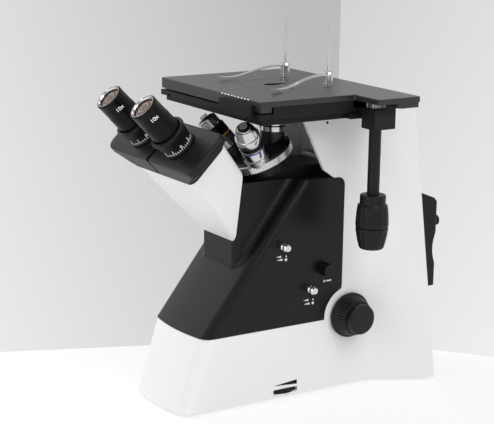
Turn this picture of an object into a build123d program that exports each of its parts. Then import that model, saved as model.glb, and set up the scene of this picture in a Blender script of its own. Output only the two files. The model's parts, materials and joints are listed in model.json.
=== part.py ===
import math
import os

from build123d import *

# Sizes are millimetres. +X is the user's right, +Y the back and +Z up.
# The objective in use looks up the line x = 0, y = 0, and the table is at z = 0.

# Fits shared by every pair of parts
running = 0.05
glued = 0.02
side_play = 0.1
gap = 0.3
overrun = 1.0

# Stand casting
foot_height = 3.0
foot_radius = 11.0
base_half = 48.0
base_top = 73.0
base_wall = 4.0
front_y = -132.0
front_bulge = 6.0
front_corner = 14.0
front_lean = 0.32
bend_y = 87.0
flare = 0.513
rear_y = 149.0
rear_lean = 0.0985
bend_round = 30.0
rear_wall = 5.0
column_top = 277.0
column_roof = 6.0
web_front = 64.0
web_thick = 6.0
web_bottom = 105.0
cheek_foot_y = 39.5
cheek_knee_y = 27.4
cheek_knee_z = 223.4
cheek_top_y = 0.5
boss_radius = 5.0
boss_height = 20.0
boss_inset = 8.0
boss_front_y = -78.0
boss_middle_y = 12.0
boss_rear_y = 124.0
screw_radius = 1.6
screw_head_radius = 3.2
screw_head_height = 1.4
plate_thick = 2.0

# Front cover
cover_wall = 3.0
cover_lean = 0.77
cover_corner = 10.0
panel_back = 52.5
panel_top = 215.0
panel_corner = 8.0
riser_half = 30.0
riser_front = -62.0
riser_back = 40.0
riser_corner = 6.0
riser_blend = 8.0

# Focus drive
focus_y = 61.0
focus_z = 75.0
focus_clear = 28.6
bush_radius = 9.0
coarse_radius = 6.0
fine_radius = 3.0
knob_stand_off = 2.0
coarse_flange_radius = 22.5
coarse_flange_thick = 3.5
coarse_knob_radius = 20.5
coarse_knob_front_radius = 17.0
coarse_knob_length = 12.0
fine_knob_radius = 15.2
fine_knob_length = 6.5
rib_depth = 0.9
focus_teeth = 15
tooth_module = 0.8
pinion_x = 18.0
pinion_width = 7.0
rack_back = 5.0
rack_bottom_teeth = 8
rack_top_teeth = 10
rail_half = 16.0
rail_depth = 6.0
carriage_half = 28.0
carriage_depth = 10.0
carriage_bottom = 188.0
carriage_top = 228.0
mount_half = 24.0
mount_depth = 16.0
mount_arm_front = -24.0
focus_down = 5.5
focus_up = 1.0

# Nosepiece, tilted towards the user
apex_z = 192.0
turret_tilt = 24.0
turret_height = 49.8
turret_radius = 35.5
turret_rim = 6.3
turret_pivot_radius = 6.0
turret_pivot_length = 10.0
mount_disc_radius = 26.0
mount_disc_thick = 12.0
objective_pitch = 120.0
objective_shoulder = 65.0
thread_radius = 10.16
thread_length = 5.0
boss_ring_radius = 13.0
light_radius = 9.0
objective_bore = 5.0
lens_radius = 4.0
lens_thick = 2.5
objective_radius = 12.0
objective_longest = 40.8
objective_nose = 8.0
swing_clear = 0.8

# Stage stack, from the column upwards
stage_top = 302.0
stage_half = 90.0
stage_front = -74.0
stage_back = 78.5
top_thick = 5.2
apron_drop = 4.8
apron_thick = 2.5
apron_corner = 12.0
tab_reach = 36.0
tab_front = 30.0
pad_thick = 3.0
fixed_thick = 5.0
fixed_recess = 4.0
middle_thick = 5.0
window_inset = 30.0
window_front = -62.0
window_back = 30.0
tongue_inset = 16.0
tongue_width = 5.0
tongue_height = 1.8
cross_rail_width = 6.0
cross_rail_margin = 20.0
cross_rail_inset = 7.0
cross_rail_key = 1.2
insert_radius = 33.0
insert_thick = 3.0
insert_ledge = 3.0
keyhole_big = 6.0
keyhole_small = 2.0
keyhole_length = 16.0
keyhole_front = -5.0
stage_travel = 15.0
side_wall_thick = 6.0
side_wall_front = -60.0
side_wall_back = 28.0
vernier_inset = 11.0
vernier_width = 54.0
vernier_depth = 4.0
vernier_top = 298.0

# Stage drive that hangs under the tab
drive_reach = 13.0
drive_y = 44.6
drive_teeth = 20
drive_shaft_radius = 4.0
drive_sleeve_radius = 5.8
pinion_height = 4.4
bracket_depth = 13.5
bracket_front = 11.0
bracket_back = 13.0
bracket_right = 13.0
drive_collar_radius = 12.3
drive_collar_height = 9.4
drive_collar_top = 208.8
upper_knob_radius = 15.6
upper_knob_top_radius = 14.2
upper_knob_height = 21.6
lower_knob_radius = 15.5
lower_knob_tip_radius = 11.7
lower_knob_height = 21.0
stage_rack_teeth = 9
flute_depth = 1.1

# Specimen clips
clip_x = 36.5
clip_y = 37.0
clip_post_radius = 1.25
clip_post_top = 360.0
clip_collar_radius = 4.5
clip_collar_height = 9.0
clip_neck_radius = 3.0
clip_neck_height = 3.0
clip_cap_radius = 5.5
clip_cap_height = 2.0
clip_arm_width = 6.5
clip_arm_thick = 0.8
clip_arm_reach = 71.0
clip_arm_turn = 8.0

# Binocular head, along the viewing line that leaves the axis at 45 degrees
head_v = 95.0
neck_low_u = 157.0
neck_top_u = 246.6
neck_low_half = 32.0
neck_top_half = 54.5
neck_front_v = 73.5
neck_back_v = 121.0
neck_back_z = 230.0
neck_gap_y = 0.2
neck_round = 6.0
neck_bore = 15.0
neck_spare = 40.0
head_base_half = 57.0
head_base_front_v = 71.5
head_base_back_v = 120.0
head_base_thick = 2.7
head_base_round = 8.0
slide_key_half = 46.0
slide_key_width = 18.0
slide_key_height = 3.0
housing_inner_x = 1.75
housing_low_x = 58.0
housing_high_x = 72.0
housing_height = 19.7
housing_front_v = 71.0
housing_back_v = 119.5
housing_round = 7.0
eye_x = 32.5
sleeve_height = 14.0
sleeve_radius = 13.5
eye_tube_radius = 11.6
eye_tube_depth = 22.0
diopter_radius = 15.6
diopter_wide_radius = 17.0
diopter_flange_radius = 18.0
diopter_height = 20.5
diopter_flange_height = 3.2
diopter_cup_radius = 15.0
eyepiece_radius = 14.4
eyepiece_top_radius = 13.6
eyepiece_height = 38.0
eyepiece_rim = 2.0
eye_lens_radius = 10.5
eye_lens_thick = 3.0
eye_lens_sink = 3.0

# Illuminator and lamp
light_z = 158.0
mirror_tilt = 22.5
tube_radius = 14.0
tube_bore = 11.0
cell_half = 17.0
cell_front = -26.0
cell_back = 18.0
cell_bottom = 116.0
cell_top = 172.0
cell_wall = 3.0
splitter_half_y = 9.0
splitter_half_z = 9.0
mirror_length = 28.0
mirror_thick = 4.0
tube_lens_u = 190.0
tube_lens_height = 18.0
tube_lens_glass = 5.0
lamp_half = 38.0
lamp_bottom = 86.0
lamp_back = 179.0
lamp_wall = 3.0
lamp_shoulder_z = 173.5
lamp_top_y = 173.5
lamp_top_z = 179.0
lamp_top_slope = 0.4
grip_low = 107.0
grip_high = 145.0
grip_depth = 5.0
socket_radius = 9.0
socket_y = 151.0
bulb_radius = 5.5
bulb_length = 22.0
thumb_x = 26.0
thumb_z = 152.0
thumb_radius = 5.5
thumb_length = 8.0
thumb_shank_radius = 2.5
lens_cell_y = 120.0
collector_thick = 6.0

# Side controls
aperture_y = -20.3
aperture_z = 154.5
field_y = 12.1
field_z = 108.1
rod_radius = 2.5
rod_clear = 7.0
rod_ball_radius = 4.2
rod_waist_radius = 3.0
rod_head_length = 12.0
filter_y = 30.3
filter_z = 125.6
filter_knob_radius = 6.5
filter_knob_length = 10.0
filter_shaft_radius = 3.0
filter_inside = 18.0
wheel_radius = 17.0
wheel_thick = 4.5
wheel_y = -12.0
wheel_show = 1.5
wheel_slot_length = 28.0
wheel_axle_radius = 3.0
pot_radius = 8.0
pot_height = 10.0
pot_reach = 23.0

# Mains parts
supply_half = 30.0
supply_front = -95.0
supply_length = 55.0
supply_height = 38.0
inlet_x = -40.0
inlet_z = 40.0
inlet_half_width = 14.0
inlet_half_height = 11.0
inlet_flange = 3.0
inlet_depth = 22.0
switch_x = 38.0
switch_half_width = 7.0
switch_half_height = 10.0
switch_depth = 12.0
switch_swell = 2.0
switch_pivot_radius = 1.5
switch_pivot_depth = 2.0
switch_pivot_show = 0.2

# Heights and places that follow from the sizes above
base_bottom = foot_height
pitch = math.pi * tooth_module
focus_pitch_radius = focus_teeth * tooth_module / 2
drive_pitch_radius = drive_teeth * tooth_module / 2
web_back = web_front + web_thick
top_bottom = stage_top - top_thick
apron_bottom = top_bottom - apron_drop
fixed_bottom = column_top + pad_thick
fixed_top = fixed_bottom + fixed_thick
middle_bottom = fixed_top + gap
middle_top = middle_bottom + middle_thick
rail_front = web_front - rail_depth
carriage_back = rail_front + carriage_depth / 2
carriage_front = carriage_back - carriage_depth
mount_back = carriage_front - gap
mount_front = mount_back - mount_depth
window_half = stage_half - window_inset
tongue_x = stage_half - tongue_inset
cross_rail_half = stage_half - cross_rail_margin
drive_x = stage_half + drive_reach
rod_inside = base_half - cell_half - rod_clear
drive_rack_x = drive_x - drive_pitch_radius
bracket_left = drive_rack_x + tooth_module + gap
head_base_top = neck_top_u + head_base_thick
housing_bottom = head_base_top + gap
housing_top = housing_bottom + housing_height
sleeve_top = housing_top + sleeve_height
eyepiece_bottom = sleeve_top + 4.0
thread_end = objective_shoulder - thread_length
knob_root = base_half + knob_stand_off
fine_root = knob_root + coarse_flange_thick + coarse_knob_length + gap
wheel_x = base_half - wheel_radius + wheel_show
wheel_bottom = base_bottom + plate_thick + 2 * gap
upper_knob_top = drive_collar_top - drive_collar_height
upper_knob_bottom = upper_knob_top - upper_knob_height
lower_knob_top = upper_knob_bottom - gap
lower_knob_bottom = lower_knob_top - lower_knob_height
drive_pinion_top = fixed_top - gap
cross_pinion_bottom = middle_top + 2 * gap
insert_bottom = stage_top - insert_thick

head_frame = Plane(origin=(0, 0, 0), x_dir=(1, 0, 0), z_dir=(0, -1, 1)).location
tilt = math.radians(turret_tilt)
turret_axis = (0, -math.sin(tilt), math.cos(tilt))
turret_frame = Plane(origin=(0, 0, apex_z), x_dir=(1, 0, 0), z_dir=turret_axis).location
rear_frame = Plane(origin=(0, rear_y, base_bottom), x_dir=(-1, 0, 0), z_dir=(0, 1, rear_lean)).location
low = (Align.CENTER, Align.CENTER, Align.MIN)


def rear_at(z):
    return rear_y - rear_lean * (z - base_bottom)


def wall_x(y):
    return base_half + max(0.0, flare * (y - bend_y))


def block(x0, x1, y0, y1, z0, z1):
    box = Box(x1 - x0, y1 - y0, z1 - z0, align=(Align.MIN, Align.MIN, Align.MIN))
    return Pos(x0, y0, z0) * box


def pin(radius, length):
    return Cylinder(radius, length, align=low)


def along_x(shape, x, y, z):
    return Pos(x, y, z) * Rot(0, 90, 0) * shape


def along_y(shape, x, y, z):
    return Pos(x, y, z) * Rot(-90, 0, 0) * shape


def turned(profile):
    points = [(radius, 0, height) for radius, height in profile]
    return revolve(make_face(Polyline(*points, close=True)), Axis.Z)


def side_prism(profile, half):
    points = [(-half, y, z) for y, z in profile]
    return extrude(make_face(Polyline(*points, close=True)), amount=2 * half, dir=(1, 0, 0))


def plan_prism(outline, z0, z1):
    points = [(x, y, z0) for x, y in outline]
    return extrude(make_face(Polyline(*points, close=True)), amount=z1 - z0, dir=(0, 0, 1))


def front_face(nose_y, corner, half, back_y):
    shoulder = nose_y + front_bulge
    arc = ThreePointArc((-half, shoulder), (0, nose_y), (half, shoulder))
    rest = Polyline((half, shoulder), (half, back_y), (-half, back_y), (-half, shoulder))
    face = make_face(arc + rest)
    return fillet(face.vertices().sort_by(Axis.Y)[:2], corner)


def leaning(face, level, z0, z1, lean):
    start = Pos(0, lean * (z0 - level), z0) * face
    run = Vector(0, lean * (z1 - z0), z1 - z0)
    return extrude(start, amount=run.length, dir=run.normalized())


def ribbed(radius, tip_radius, length, count, depth):
    faces = []
    for edge, height in ((radius, 0), (tip_radius, length)):
        points = []
        for step in range(count):
            for part, drop in ((-0.3, 0), (0.3, 0), (0.4, depth), (0.6, depth)):
                angle = 2 * math.pi * (step + part) / count
                points.append(((edge - drop) * math.cos(angle), (edge - drop) * math.sin(angle), height))
        faces.append(make_face(Polyline(*points, close=True)))
    return loft(faces, ruled=True)


def pinion(teeth, width):
    radius = teeth * tooth_module / 2
    points = []
    for step in range(teeth):
        for part, height in ((-0.27, -1.1), (-0.11, 0.9), (0.11, 0.9), (0.27, -1.1)):
            angle = 2 * math.pi * (step + part) / teeth
            reach = radius + height * tooth_module
            points.append((reach * math.cos(angle), reach * math.sin(angle)))
    return extrude(make_face(Polyline(*points, close=True)), amount=width)


def rack(before, after, back, width):
    points = [(-before * pitch, -back)]
    points.append((-before * pitch, -1.1 * tooth_module))
    for step in range(-before, after):
        centre = (step + 0.5) * pitch
        points.append((centre - 0.27 * pitch, -1.1 * tooth_module))
        points.append((centre - 0.11 * pitch, 0.9 * tooth_module))
        points.append((centre + 0.11 * pitch, 0.9 * tooth_module))
        points.append((centre + 0.27 * pitch, -1.1 * tooth_module))
    points.append((after * pitch, -1.1 * tooth_module))
    points.append((after * pitch, -back))
    return extrude(make_face(Polyline(*points, close=True)), amount=width)


def panel(seam):
    sheet = side_prism(
        [
            (2 * front_y, base_top + seam),
            (panel_back - seam, base_top + seam),
            (panel_back - seam, panel_top),
            (2 * front_y, panel_top),
        ],
        base_half + overrun,
    )
    corner = sheet.edges().filter_by(Axis.X).group_by(Axis.Y)[-1].sort_by(Axis.Z)[-1]
    sheet = fillet(corner, panel_corner)
    relief = along_x(pin(focus_clear + seam, 4 * base_half), -2 * base_half, focus_y, focus_z)
    return sheet - relief


nodes = {}

# Stand casting: leaning front, straight sides, flared column with a web inside
nose_top = front_y + front_lean * (base_top - base_bottom)
front = leaning(front_face(front_y, front_corner, base_half, web_front), base_bottom, base_bottom, base_top, front_lean)
flare_end = rear_y + rear_wall
column_plan = [
    (-base_half, 0),
    (base_half, 0),
    (base_half, bend_y),
    (wall_x(flare_end), flare_end),
    (-wall_x(flare_end), flare_end),
    (-base_half, bend_y),
]
column_side = [
    (0, base_bottom),
    (rear_at(base_bottom), base_bottom),
    (rear_at(column_top), column_top),
    (0, column_top),
]
column = plan_prism(column_plan, base_bottom, column_top)
bends = [edge for edge in column.edges().filter_by(Axis.Z) if abs(edge.center().Y - bend_y) < overrun]
column = fillet(bends, bend_round) & side_prism(column_side, 2 * base_half)
cheek_cut = side_prism(
    [
        (-overrun, panel_top - overrun),
        (cheek_foot_y, panel_top - overrun),
        (cheek_foot_y, panel_top),
        (cheek_knee_y, cheek_knee_z),
        (cheek_top_y, column_top + overrun),
        (-overrun, column_top + overrun),
    ],
    2 * base_half,
)
inner_half = base_half - base_wall
slant = base_wall * math.sqrt(1 + flare * flare)
inner_nose = front_y + base_wall * math.sqrt(1 + front_lean * front_lean)
inner_corner = front_corner - base_wall
hollow_front = leaning(
    front_face(inner_nose, inner_corner, inner_half, web_front),
    base_bottom,
    base_bottom - overrun,
    base_top + overrun,
    front_lean,
)
hollow_bay = block(-inner_half, inner_half, -overrun, web_front, base_bottom - overrun, column_top + overrun)
inner_bend = bend_y + (slant - base_wall) / flare
inner_plan = [
    (-inner_half, web_front - overrun),
    (inner_half, web_front - overrun),
    (inner_half, inner_bend),
    (wall_x(flare_end) - slant, flare_end),
    (-wall_x(flare_end) + slant, flare_end),
    (-inner_half, inner_bend),
]
inner_side = [
    (web_front - overrun, base_bottom - overrun),
    (rear_at(base_bottom - overrun) - rear_wall, base_bottom - overrun),
    (rear_at(column_top - column_roof) - rear_wall, column_top - column_roof),
    (web_back, column_top - column_roof),
    (web_back, web_bottom),
    (web_front - overrun, web_bottom),
]
hollow_rear = plan_prism(inner_plan, base_bottom - overrun, column_top) & side_prism(inner_side, 2 * base_half)
casting = front + column - panel(0) - cheek_cut - hollow_front - hollow_bay - hollow_rear
boss_places = []
for y in (boss_front_y, boss_middle_y, boss_rear_y):
    for side in (-1, 1):
        boss_places.append((side * (wall_x(y) - boss_inset), y))
boss_low = base_bottom + plate_thick
for x, y in boss_places:
    casting += Pos(x, y, boss_low) * pin(boss_radius, boss_height)
    casting -= Pos(x, y, boss_low - overrun) * pin(screw_radius + glued, boss_height)
casting -= along_x(pin(bush_radius + glued, 4 * base_half), -2 * base_half, focus_y, focus_z)
casting -= along_y(pin(tube_radius + glued, 2 * web_thick), 0, web_front - overrun, light_z)
casting -= along_y(pin(tube_bore, 4 * rear_wall), 0, rear_at(light_z) - 2 * rear_wall, light_z)
slot_low = wheel_y - wheel_slot_length / 2
casting -= block(
    inner_half - overrun,
    base_half + overrun,
    slot_low,
    slot_low + wheel_slot_length,
    wheel_bottom - gap,
    wheel_bottom + wheel_thick + gap,
)
inlet_up = (inlet_z - base_bottom) * math.sqrt(1 + rear_lean * rear_lean)
inlet_hole = Box(2 * (inlet_half_width + glued), 2 * (inlet_half_height + glued), 4 * rear_wall)
switch_hole = Box(2 * (switch_half_width + gap), 2 * (switch_half_height + gap), 4 * rear_wall)
casting -= rear_frame * Pos(-inlet_x, inlet_up, 0) * inlet_hole
casting -= rear_frame * Pos(-switch_x, inlet_up, 0) * switch_hole
nodes["base_casting"] = casting

# Bottom plate, its screws and the feet
plate_front = leaning(
    front_face(inner_nose + gap, inner_corner, inner_half - gap, web_front),
    base_bottom,
    base_bottom,
    base_bottom + plate_thick,
    front_lean,
)
plate_back_y = rear_at(base_bottom + plate_thick) - rear_wall - gap
plate_plan = [
    (-inner_half + gap, 0),
    (inner_half - gap, 0),
    (inner_half - gap, inner_bend),
    (wall_x(plate_back_y) - slant - gap, plate_back_y),
    (-wall_x(plate_back_y) + slant + gap, plate_back_y),
    (-inner_half + gap, inner_bend),
]
bottom = plate_front + plan_prism(plate_plan, base_bottom, base_bottom + plate_thick)
screws = []
for x, y in boss_places:
    bottom -= Pos(x, y, base_bottom - overrun) * pin(screw_radius + glued, 2 * plate_thick)
    head = Pos(x, y, base_bottom - screw_head_height) * pin(screw_head_radius, screw_head_height)
    screws.append(head + Pos(x, y, base_bottom) * pin(screw_radius, boss_height / 2))
nodes["bottom_plate"] = bottom
nodes["bottom_screws"] = Compound(children=screws)
feet = []
for y in (boss_front_y - 2 * foot_radius, boss_rear_y):
    for side in (-1, 1):
        x = side * (wall_x(y) - 2 * boss_inset - foot_radius)
        feet.append(Pos(x, y, 0) * pin(foot_radius, foot_height))
nodes["rubber_feet"] = Compound(children=feet)

# Front cover: leaning shell with a riser under the head
cover_face = front_face(nose_top, cover_corner, base_half, 4 * bend_y)
cover = leaning(cover_face, base_top, base_top, panel_top, cover_lean) & panel(gap)
riser = block(-riser_half, riser_half, riser_front, riser_back, base_top + 3 * riser_blend, panel_top)
riser = fillet(riser.edges().filter_by(Axis.Z).group_by(Axis.Y)[0], riser_corner)
cover += riser
blend_edges = [edge for edge in cover.edges() if abs(edge.center().X) < riser_half + overrun]
blend_edges = [edge for edge in blend_edges if base_top + overrun < edge.bounding_box().min.Z < panel_top - overrun]
blend_edges = [edge for edge in blend_edges if edge.bounding_box().size.X + edge.bounding_box().size.Y > overrun / 2]
cover = fillet(blend_edges, riser_blend)
cover_set = cover_wall * math.sqrt(1 + cover_lean * cover_lean)
inner_face = front_face(nose_top + cover_set, cover_corner - cover_wall, base_half - cover_wall, 4 * bend_y)
cover -= leaning(inner_face, base_top, base_top - overrun, panel_top - cover_wall, cover_lean)
well = block(
    -riser_half + cover_wall,
    riser_half - cover_wall,
    riser_front + cover_wall,
    2 * bend_y,
    base_top + 4 * riser_blend,
    panel_top + overrun,
)
cover -= well
viewing_bore = head_frame * Pos(0, head_v, 0) * pin(neck_bore, neck_top_u + overrun)
cover -= viewing_bore & block(-riser_half, riser_half, riser_front - overrun, 0, base_top, column_top)
control_hole = pin(rod_radius + running, 2 * cover_wall)
cover -= along_x(control_hole, base_half - 1.5 * cover_wall, aperture_y, aperture_z)
cover -= along_x(control_hole, base_half - 1.5 * cover_wall, field_y, field_z)
filter_hole = pin(filter_shaft_radius + running, 2 * cover_wall)
cover -= along_x(filter_hole, base_half - 1.5 * cover_wall, filter_y, filter_z)
nodes["front_cover"] = cover

# Neck between the cover and the binocular head
neck_back_y = riser_front - neck_gap_y
root = math.sqrt(2)
neck_side = [
    (neck_back_y, neck_low_u * root + neck_back_y),
    ((neck_front_v - neck_top_u) / root, (neck_front_v + neck_top_u) / root),
    ((neck_back_v - neck_top_u) / root, (neck_back_v + neck_top_u) / root),
    (neck_back_y, neck_back_z),
]
neck = side_prism(neck_side, neck_top_half + overrun)
spread = (neck_top_half - neck_low_half) / (neck_top_u - neck_low_u)
wedge_low = neck_low_u - neck_spare
wedge_points = [
    (neck_low_half - neck_spare * spread, 0, wedge_low),
    (neck_top_half + neck_spare * spread, 0, neck_top_u + neck_spare),
    (-neck_top_half - neck_spare * spread, 0, neck_top_u + neck_spare),
    (-neck_low_half + neck_spare * spread, 0, wedge_low),
]
wedge_face = Pos(0, -neck_top_u, 0) * make_face(Polyline(*wedge_points, close=True))
wedge = head_frame * extrude(wedge_face, amount=3 * neck_top_u, dir=(0, 1, 0))
neck = neck & wedge
long_edges = [edge for edge in neck.edges() if abs(edge.center().X) > neck_low_half / 2 and edge.center().Y < neck_back_y - 5]
long_edges = [edge for edge in long_edges if edge.bounding_box().size.X > 0.2]
neck = fillet(long_edges, neck_round)
neck -= viewing_bore
swing_half = objective_radius + swing_clear
nose_half = objective_nose + swing_clear
swing_end = objective_shoulder + objective_longest + swing_clear
swing_line = [
    (objective_shoulder, -swing_half),
    (objective_shoulder, swing_half),
    (objective_shoulder + 0.75 * objective_longest, swing_half),
    (swing_end, nose_half),
    (swing_end, -nose_half),
    (objective_shoulder + 0.75 * objective_longest, -swing_half),
]
swing_profile = []
for along, aside in swing_line:
    radius = along * math.sin(tilt) + aside * math.cos(tilt)
    swing_profile.append((radius, along * math.cos(tilt) - aside * math.sin(tilt)))
swing = turret_frame * turned(swing_profile)
for lift in (-focus_down, 0, focus_up):
    neck -= Pos(0, 0, lift) * swing
nodes["head_neck"] = neck
base_plan = Rectangle(2 * head_base_half, head_base_back_v - head_base_front_v)
base_plan = fillet(base_plan.vertices(), head_base_round)
mid_v = (head_base_back_v + head_base_front_v) / 2
head_base = Pos(0, mid_v, neck_top_u) * extrude(base_plan, amount=head_base_thick)
key = block(
    -slide_key_half,
    slide_key_half,
    head_v - slide_key_width / 2,
    head_v + slide_key_width / 2,
    head_base_top,
    head_base_top + slide_key_height,
)
head_base += key
head_base -= Pos(0, head_v, neck_top_u - overrun) * pin(slide_key_width / 2 - 1, 2 * head_base_thick)
nodes["binocular_base"] = head_frame * head_base

# Sliding eyepiece tube housings, diopter rings and eyepieces
housing_points = [
    (housing_inner_x, housing_front_v, housing_bottom),
    (housing_low_x, housing_front_v, housing_bottom),
    (housing_high_x, housing_front_v, housing_top),
    (housing_inner_x, housing_front_v, housing_top),
]
housing_face = make_face(Polyline(*housing_points, close=True))
housing = extrude(housing_face, amount=housing_back_v - housing_front_v, dir=(0, 1, 0))
outer_face = housing.faces().sort_by(Axis.X)[-1]
outer_edges = [edge for edge in outer_face.edges() if edge.bounding_box().size.Z > overrun]
housing = fillet(outer_edges, housing_round)
housing = fillet(housing.faces().sort_by(Axis.Z)[-1].edges(), housing_round / 3)
housing += Pos(eye_x, head_v, housing_top) * pin(sleeve_radius, sleeve_height)
housing -= block(
    0,
    slide_key_half + 2 * housing_inner_x,
    head_v - slide_key_width / 2 - side_play,
    head_v + slide_key_width / 2 + side_play,
    housing_bottom - overrun,
    head_base_top + slide_key_height + gap,
)
housing -= Pos(eye_x, head_v, housing_bottom - overrun) * pin(eye_tube_radius + running, eyepiece_bottom)
ring_low = housing_top + gap
ring_top = ring_low + diopter_height
ring = turned(
    [
        (sleeve_radius + running, ring_low),
        (diopter_radius, ring_low),
        (diopter_wide_radius, ring_top - 2 * diopter_flange_height),
        (diopter_wide_radius, ring_top - diopter_flange_height),
        (diopter_flange_radius, ring_top - diopter_flange_height),
        (diopter_flange_radius, ring_top),
        (diopter_cup_radius, ring_top),
        (diopter_cup_radius, sleeve_top + gap),
        (sleeve_radius + running, sleeve_top + gap),
    ]
)
eye_top = eyepiece_bottom + eyepiece_height
lens_top = eye_top - eye_lens_sink
tube_inner = eye_tube_radius - eyepiece_rim
eyepiece = turned(
    [
        (tube_inner, eyepiece_bottom - eye_tube_depth),
        (eye_tube_radius, eyepiece_bottom - eye_tube_depth),
        (eye_tube_radius, eyepiece_bottom),
        (eyepiece_radius, eyepiece_bottom),
        (eyepiece_radius, eyepiece_bottom + eyepiece_height / 2),
        (eyepiece_top_radius, eyepiece_bottom + eyepiece_height / 2 + eyepiece_rim),
        (eyepiece_top_radius, eye_top - eyepiece_rim / 2),
        (eyepiece_top_radius - eyepiece_rim / 2, eye_top),
        (eye_lens_radius + eyepiece_rim / 2, eye_top),
        (eye_lens_radius, lens_top),
        (eye_lens_radius, lens_top - eye_lens_thick),
        (tube_inner, lens_top - eye_lens_thick),
    ]
)
eye_lens = Pos(0, 0, lens_top - eye_lens_thick) * pin(eye_lens_radius - glued, eye_lens_thick - glued)
for name, side in (("right", 1), ("left", -1)):
    half = housing if side == 1 else mirror(housing, about=Plane.YZ)
    nodes["tube_housing_" + name] = head_frame * half
    seat = head_frame * Pos(side * eye_x, head_v, 0)
    nodes["diopter_ring_" + name] = seat * ring
    nodes["eyepiece_" + name] = Compound(children=[seat * eyepiece, seat * eye_lens])

# Focus drive: rail, carriage, rack, coaxial shafts and knobs
rail = block(-rail_half, rail_half, rail_front, web_front, carriage_bottom - 16, carriage_top + 8)
nodes["focus_rail"] = rail
carriage = block(-carriage_half, carriage_half, carriage_front, carriage_back, carriage_bottom, carriage_top)
carriage -= block(
    -rail_half - side_play,
    rail_half + side_play,
    rail_front - gap,
    web_front,
    carriage_bottom - overrun,
    carriage_top + overrun,
)
nodes["focus_carriage"] = carriage
rack_pitch_y = focus_y - focus_pitch_radius
rack_frame = Plane(
    origin=(pinion_x + pinion_width, rack_pitch_y, focus_z),
    x_dir=(0, 0, 1),
    z_dir=(-1, 0, 0),
).location
focus_rack = rack_frame * rack(rack_bottom_teeth, rack_top_teeth, rack_back, pinion_width)
focus_rack += block(
    pinion_x,
    pinion_x + pinion_width,
    rack_pitch_y - rack_back,
    rack_pitch_y - 1.1 * tooth_module,
    focus_z + rack_top_teeth * pitch - overrun,
    carriage_bottom,
)
nodes["focus_rack"] = focus_rack
bush = turned(
    [
        (coarse_radius + running, 0),
        (bush_radius, 0),
        (bush_radius, base_wall),
        (coarse_radius + running, base_wall),
    ]
)
nodes["shaft_bushes"] = Compound(
    children=[
        along_x(bush, inner_half, focus_y, focus_z),
        along_x(bush, -base_half, focus_y, focus_z),
    ]
)
coarse_length = 2 * (knob_root + coarse_flange_thick)
coarse = along_x(pin(coarse_radius, coarse_length), -coarse_length / 2, focus_y, focus_z)
toothed = Rot(0, 0, -90) * pinion(focus_teeth, pinion_width)
root_radius = focus_pitch_radius - 1.1 * tooth_module
groove = pin(coarse_radius + overrun, pinion_width + 2 * overrun) - pin(root_radius, pinion_width + 2 * overrun)
coarse -= along_x(groove, pinion_x - overrun, focus_y, focus_z)
coarse += along_x(toothed, pinion_x, focus_y, focus_z)
coarse -= along_x(pin(fine_radius + running, 2 * coarse_length), -coarse_length, focus_y, focus_z)
nodes["coarse_shaft"] = coarse
coarse_knob = pin(coarse_flange_radius, coarse_flange_thick)
coarse_knob += Pos(0, 0, coarse_flange_thick) * ribbed(
    coarse_knob_radius, coarse_knob_front_radius, coarse_knob_length, 30, rib_depth
)
coarse_knob -= pin(coarse_radius + glued, coarse_flange_thick)
coarse_knob -= pin(fine_radius + running, 2 * coarse_knob_length)
fine_half = fine_root + fine_knob_length / 2
nodes["fine_shaft"] = along_x(pin(fine_radius, 2 * fine_half), -fine_half, focus_y, focus_z)
fine_knob = turned(
    [
        (0, 0),
        (fine_knob_radius, 0),
        (fine_knob_radius, fine_knob_length - 2),
        (fine_knob_radius - 2, fine_knob_length),
        (2.5, fine_knob_length),
        (2, fine_knob_length - 1),
        (0, fine_knob_length - 1),
    ]
)
fine_knob -= pin(fine_radius + glued, fine_knob_length / 2)
for name, side in (("right", 1), ("left", -1)):
    outer_knob = along_x(coarse_knob, knob_root, focus_y, focus_z)
    inner_knob = along_x(fine_knob, fine_root, focus_y, focus_z)
    if side == -1:
        outer_knob = mirror(outer_knob, about=Plane.YZ)
        inner_knob = mirror(inner_knob, about=Plane.YZ)
    nodes["coarse_knob_" + name] = outer_knob
    nodes["fine_knob_" + name] = inner_knob

# Nosepiece: fixed mount on the carriage, turning turret, three objectives
disc_top = turret_height - turret_rim - gap
mount = turret_frame * Pos(0, 0, disc_top - mount_disc_thick) * pin(mount_disc_radius, mount_disc_thick)
arm_low = carriage_bottom + 10
mount += block(-mount_half, mount_half, mount_front, mount_back, carriage_bottom + 2 * overrun, carriage_top - 4)
arm = block(-mount_half + 4, mount_half - 4, mount_arm_front, mount_front + overrun, arm_low, carriage_top - 4)
above = turret_frame * Pos(0, 0, disc_top - overrun) * pin(4 * turret_radius, 4 * turret_radius)
mount += arm - above
mount -= turret_frame * Pos(0, 0, disc_top - turret_pivot_length - gap) * pin(
    turret_pivot_radius + running, turret_pivot_length + 2 * gap
)
mount -= Pos(0, 0, arm_low - overrun) * pin(light_radius, turret_height)
nodes["nosepiece_mount"] = mount


def station(turn):
    return turret_frame * Rot(0, 0, -turn) * Rot(-turret_tilt, 0, 0)


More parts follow.
